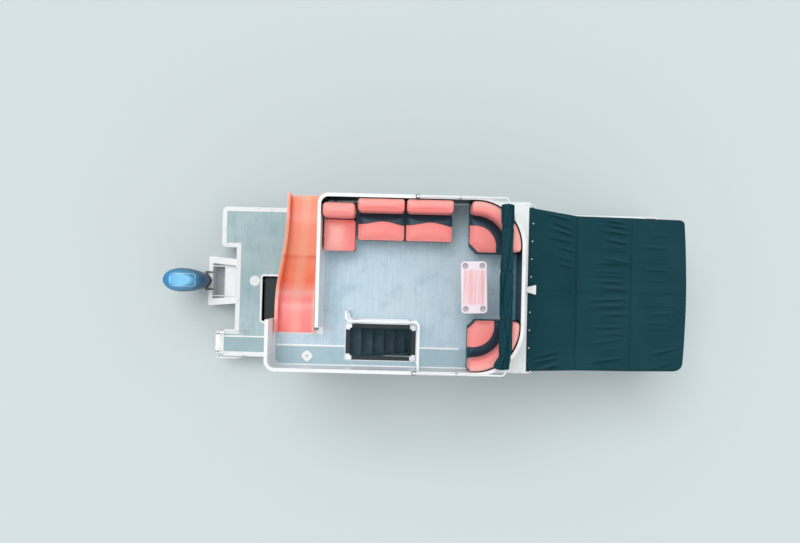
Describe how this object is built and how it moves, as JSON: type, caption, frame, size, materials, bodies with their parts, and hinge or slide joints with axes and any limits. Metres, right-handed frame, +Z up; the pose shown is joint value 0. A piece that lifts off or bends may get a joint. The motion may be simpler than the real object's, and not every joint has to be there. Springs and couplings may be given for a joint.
{
  "type": "double-deck pontoon boat",
  "caption": "Double-deck pontoon boat with tube floats, fenced decks, stairs, slide, upper lounge, bow canopy and outboard motor.",
  "frame": {"origin": "on the waterline at the centreline, midway along the floats", "axes": "+X to the bow, +Y to port, +Z up"},
  "size_m": [8.7122, 2.7577, 4.245],
  "materials": {
    "float_aluminium": "rolled, dull",
    "mill_aluminium": "satin",
    "white_frame": "powder coated, satin",
    "white_trim": "moulded vinyl, satin",
    "deck_vinyl": "woven vinyl flooring",
    "fence_sheet": "painted sheet, satin",
    "white_sheet": "painted sheet, satin",
    "stainless": "polished",
    "dark_moulding": "rotomoulded, fine grain",
    "pale_moulding": "gel coat",
    "slide_plastic": "rotomoulded, satin",
    "coral_vinyl": "marine vinyl upholstery",
    "table_laminate": "gloss",
    "black_nylon": "moulded",
    "canopy_cloth": "woven acrylic",
    "motor_enamel": "enamel",
    "cowl_enamel": "metallic enamel, gloss"
  },
  "bodies": {
    "root": {"bench_back_cushions": "coral_vinyl", "bench_seat_cushions": "coral_vinyl", "bimini_brackets": "black_nylon", "bow_canopy": "canopy_cloth", "bow_edge_plate": "white_trim", "canopy_bows": "mill_aluminium", "chaise_cushions": "coral_vinyl", "cleats": "stainless", "corner_seat_backs": "coral_vinyl", "corner_seat_cushions": "coral_vinyl", "deck_cross_members": "mill_aluminium", "deck_lamp": "white_trim", "deck_seam_strips": "white_trim", "float_centre": "float_aluminium", "float_port": "float_aluminium", "float_starboard": "float_aluminium", "gate_hinges": "stainless", "hatch_corners": "white_trim", "hatch_frame": "dark_moulding", "helm_chair_post": "mill_aluminium", "helm_console": "pale_moulding", "ladder_handrails": "white_frame", "ladder_mount": "stainless", "lounge_bases": "pale_moulding", "lounge_cushions": "coral_vinyl", "lower_deck_floor": "deck_vinyl", "lower_deck_trim": "white_trim", "lower_fence_port": "white_frame", "lower_fence_port_panel": "fence_sheet", "lower_fence_starboard": "white_frame", "lower_fence_starboard_panel": "fence_sheet", "motor_bracket": "white_frame", "outboard_clamp_bracket": "motor_enamel", "pole_socket": "white_trim", "seat_bases": "dark_moulding", "slide": "slide_plastic", "slide_stand": "white_frame", "stairs": "dark_moulding", "stairwell_rail": "white_frame", "stern_deck_plate": "white_trim", "stern_locker": "dark_moulding", "table_leg": "mill_aluminium", "table_top": "table_laminate", "upper_deck_beams": "white_frame", "upper_deck_floor": "deck_vinyl", "upper_deck_posts": "white_frame", "upper_deck_trim": "white_trim", "upper_rail": "white_frame", "upper_rail_panel": "white_sheet"},
    "outboard_tilt": {"outboard_swivel_bracket": "motor_enamel"},
    "outboard_steer": {"outboard_leg": "motor_enamel", "outboard_cowl": "cowl_enamel"},
    "propeller": {"propeller": "stainless"},
    "steering_wheel": {"steering_wheel": "black_nylon"},
    "helm_chair": {"helm_chair": "coral_vinyl"},
    "bow_gate": {"bow_gate": "white_frame"},
    "stern_gate": {"stern_gate": "white_frame"},
    "boarding_ladder": {"boarding_ladder": "stainless"},
    "bimini": {"bimini_frame": "mill_aluminium", "bimini_roll": "canopy_cloth"}
  },
  "joints": [
    {"name": "outboard_tilt", "type": "hinge", "parent": "root", "child": "outboard_tilt", "pos_m": [-4.34, 0, 0.435], "axis": [0, 1, 0], "range_deg": [0, 65]},
    {"name": "outboard_steer", "type": "hinge", "parent": "outboard_tilt", "child": "outboard_steer", "pos_m": [-4.425, 0, 0.2], "axis": [0, 0, 1], "range_deg": [-30, 30]},
    {"name": "propeller_spin", "type": "hinge", "parent": "outboard_steer", "child": "propeller", "pos_m": [-4.74, 0, -0.482], "axis": [1, 0, 0], "continuous": true},
    {"name": "steering_wheel_turn", "type": "hinge", "parent": "root", "child": "steering_wheel", "pos_m": [0.785, -0.775, 1.28], "axis": [-0.907, 0, 0.4211], "range_deg": [-600, 600]},
    {"name": "helm_chair_swivel", "type": "hinge", "parent": "root", "child": "helm_chair", "pos_m": [0.13, -0.775, 0.83], "axis": [0, 0, 1], "range_deg": [-90, 90]},
    {"name": "bow_gate_swing", "type": "hinge", "parent": "root", "child": "bow_gate", "pos_m": [2.971, 0.396, 0.9], "axis": [0, 0, -1], "range_deg": [0, 90]},
    {"name": "stern_gate_swing", "type": "hinge", "parent": "root", "child": "stern_gate", "pos_m": [-2.711, -0.687, 0.9], "axis": [0, 0, 1], "range_deg": [0, 90]},
    {"name": "ladder_fold", "type": "hinge", "parent": "root", "child": "boarding_ladder", "pos_m": [-4.11, -1.062, 0.572], "axis": [0, 1, 0], "range_deg": [0, 270]},
    {"name": "bimini_raise", "type": "hinge", "parent": "root", "child": "bimini", "pos_m": [-0.75, 0, 3.442], "axis": [0, -1, 0], "range_deg": [0, 90]}
  ],
  "couplings": [
    {"joint": "steering_wheel_turn", "follows": "outboard_steer", "ratio": -20}
  ]
}
